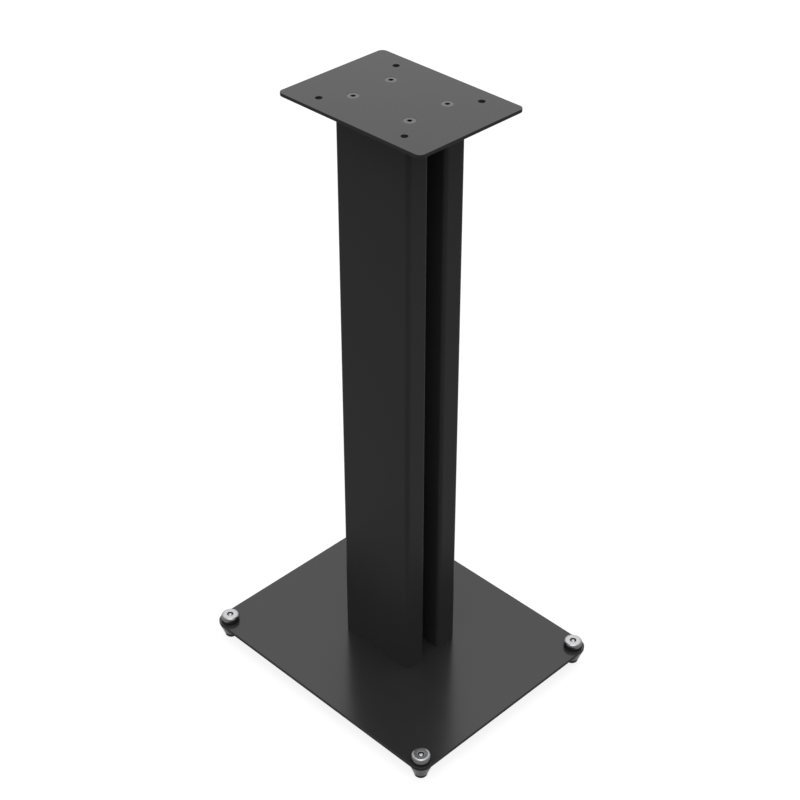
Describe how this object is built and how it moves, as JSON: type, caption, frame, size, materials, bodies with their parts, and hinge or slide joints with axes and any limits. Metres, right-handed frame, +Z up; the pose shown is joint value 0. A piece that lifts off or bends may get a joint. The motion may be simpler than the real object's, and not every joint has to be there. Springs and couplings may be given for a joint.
{
  "type": "speaker stand",
  "caption": "Speaker stand: two flat rectangular tubes between a top plate and a larger base plate, on levelling feet with chrome lock caps.",
  "frame": {"origin": "on the floor under the middle of the stand, at the level of the soles", "axes": "+Z up, front towards -Y, +X to the right of someone facing the front from -Y looking to +Y"},
  "size_m": [0.25, 0.307, 0.6309],
  "materials": {
    "black_coat": "satin powder coat",
    "bare_steel": "zinc plated",
    "screw_steel": "satin zinc plated",
    "chrome": "polished chrome",
    "cone_metal": "satin nickel",
    "sole_rubber": "matt",
    "washer_rubber": "matt"
  },
  "bodies": {
    "stand": {"top_plate": "black_coat", "base_plate": "black_coat", "left_tube": "black_coat", "right_tube": "black_coat", "left_tube_top_block": "bare_steel", "right_tube_top_block": "bare_steel", "left_tube_bottom_block": "bare_steel", "right_tube_bottom_block": "bare_steel", "top_plate_screws": "screw_steel", "base_plate_screws": "screw_steel", "front_left_bush": "bare_steel", "front_right_bush": "bare_steel", "rear_left_bush": "bare_steel", "rear_right_bush": "bare_steel"},
    "front_left_sole_body": {"front_left_sole": "sole_rubber"},
    "front_left_stud_body": {"front_left_stud": "chrome", "front_left_foot_cone": "cone_metal"},
    "front_left_washer_body": {"front_left_washer": "washer_rubber"},
    "front_left_cap_body": {"front_left_lock_cap": "chrome"},
    "front_right_sole_body": {"front_right_sole": "sole_rubber"},
    "front_right_stud_body": {"front_right_stud": "chrome", "front_right_foot_cone": "cone_metal"},
    "front_right_washer_body": {"front_right_washer": "washer_rubber"},
    "front_right_cap_body": {"front_right_lock_cap": "chrome"},
    "rear_left_sole_body": {"rear_left_sole": "sole_rubber"},
    "rear_left_stud_body": {"rear_left_stud": "chrome", "rear_left_foot_cone": "cone_metal"},
    "rear_left_washer_body": {"rear_left_washer": "washer_rubber"},
    "rear_left_cap_body": {"rear_left_lock_cap": "chrome"},
    "rear_right_sole_body": {"rear_right_sole": "sole_rubber"},
    "rear_right_stud_body": {"rear_right_stud": "chrome", "rear_right_foot_cone": "cone_metal"},
    "rear_right_washer_body": {"rear_right_washer": "washer_rubber"},
    "rear_right_cap_body": {"rear_right_lock_cap": "chrome"}
  },
  "joints": [
    {"name": "front_left_foot_height", "type": "slide", "parent": "stand", "child": "front_left_sole_body", "axis": [0, 0, -1], "range_m": [0, 0.004]},
    {"name": "front_left_stud_turn", "type": "hinge", "parent": "front_left_sole_body", "child": "front_left_stud_body", "pos_m": [-0.113, -0.1415, 0], "axis": [0, 0, -1], "range_deg": [0, 1440]},
    {"name": "front_left_cap_lift", "type": "slide", "parent": "stand", "child": "front_left_washer_body", "axis": [0, 0, 1], "range_m": [0, 0.001]},
    {"name": "front_left_cap_turn", "type": "hinge", "parent": "front_left_washer_body", "child": "front_left_cap_body", "pos_m": [-0.113, -0.1415, 0.0207], "axis": [0, 0, 1], "range_deg": [0, 360]},
    {"name": "front_right_foot_height", "type": "slide", "parent": "stand", "child": "front_right_sole_body", "axis": [0, 0, -1], "range_m": [0, 0.004]},
    {"name": "front_right_stud_turn", "type": "hinge", "parent": "front_right_sole_body", "child": "front_right_stud_body", "pos_m": [0.113, -0.1415, 0], "axis": [0, 0, -1], "range_deg": [0, 1440]},
    {"name": "front_right_cap_lift", "type": "slide", "parent": "stand", "child": "front_right_washer_body", "axis": [0, 0, 1], "range_m": [0, 0.001]},
    {"name": "front_right_cap_turn", "type": "hinge", "parent": "front_right_washer_body", "child": "front_right_cap_body", "pos_m": [0.113, -0.1415, 0.0207], "axis": [0, 0, 1], "range_deg": [0, 360]},
    {"name": "rear_left_foot_height", "type": "slide", "parent": "stand", "child": "rear_left_sole_body", "axis": [0, 0, -1], "range_m": [0, 0.004]},
    {"name": "rear_left_stud_turn", "type": "hinge", "parent": "rear_left_sole_body", "child": "rear_left_stud_body", "pos_m": [-0.113, 0.1415, 0], "axis": [0, 0, -1], "range_deg": [0, 1440]},
    {"name": "rear_left_cap_lift", "type": "slide", "parent": "stand", "child": "rear_left_washer_body", "axis": [0, 0, 1], "range_m": [0, 0.001]},
    {"name": "rear_left_cap_turn", "type": "hinge", "parent": "rear_left_washer_body", "child": "rear_left_cap_body", "pos_m": [-0.113, 0.1415, 0.0207], "axis": [0, 0, 1], "range_deg": [0, 360]},
    {"name": "rear_right_foot_height", "type": "slide", "parent": "stand", "child": "rear_right_sole_body", "axis": [0, 0, -1], "range_m": [0, 0.004]},
    {"name": "rear_right_stud_turn", "type": "hinge", "parent": "rear_right_sole_body", "child": "rear_right_stud_body", "pos_m": [0.113, 0.1415, 0], "axis": [0, 0, -1], "range_deg": [0, 1440]},
    {"name": "rear_right_cap_lift", "type": "slide", "parent": "stand", "child": "rear_right_washer_body", "axis": [0, 0, 1], "range_m": [0, 0.001]},
    {"name": "rear_right_cap_turn", "type": "hinge", "parent": "rear_right_washer_body", "child": "rear_right_cap_body", "pos_m": [0.113, 0.1415, 0.0207], "axis": [0, 0, 1], "range_deg": [0, 360]}
  ],
  "couplings": [
    {"joint": "front_left_stud_turn", "follows": "front_left_foot_height", "rad_per_m": 6283.2},
    {"joint": "front_left_cap_turn", "follows": "front_left_cap_lift", "rad_per_m": 6283.2},
    {"joint": "front_right_stud_turn", "follows": "front_right_foot_height", "rad_per_m": 6283.2},
    {"joint": "front_right_cap_turn", "follows": "front_right_cap_lift", "rad_per_m": 6283.2},
    {"joint": "rear_left_stud_turn", "follows": "rear_left_foot_height", "rad_per_m": 6283.2},
    {"joint": "rear_left_cap_turn", "follows": "rear_left_cap_lift", "rad_per_m": 6283.2},
    {"joint": "rear_right_stud_turn", "follows": "rear_right_foot_height", "rad_per_m": 6283.2},
    {"joint": "rear_right_cap_turn", "follows": "rear_right_cap_lift", "rad_per_m": 6283.2}
  ]
}
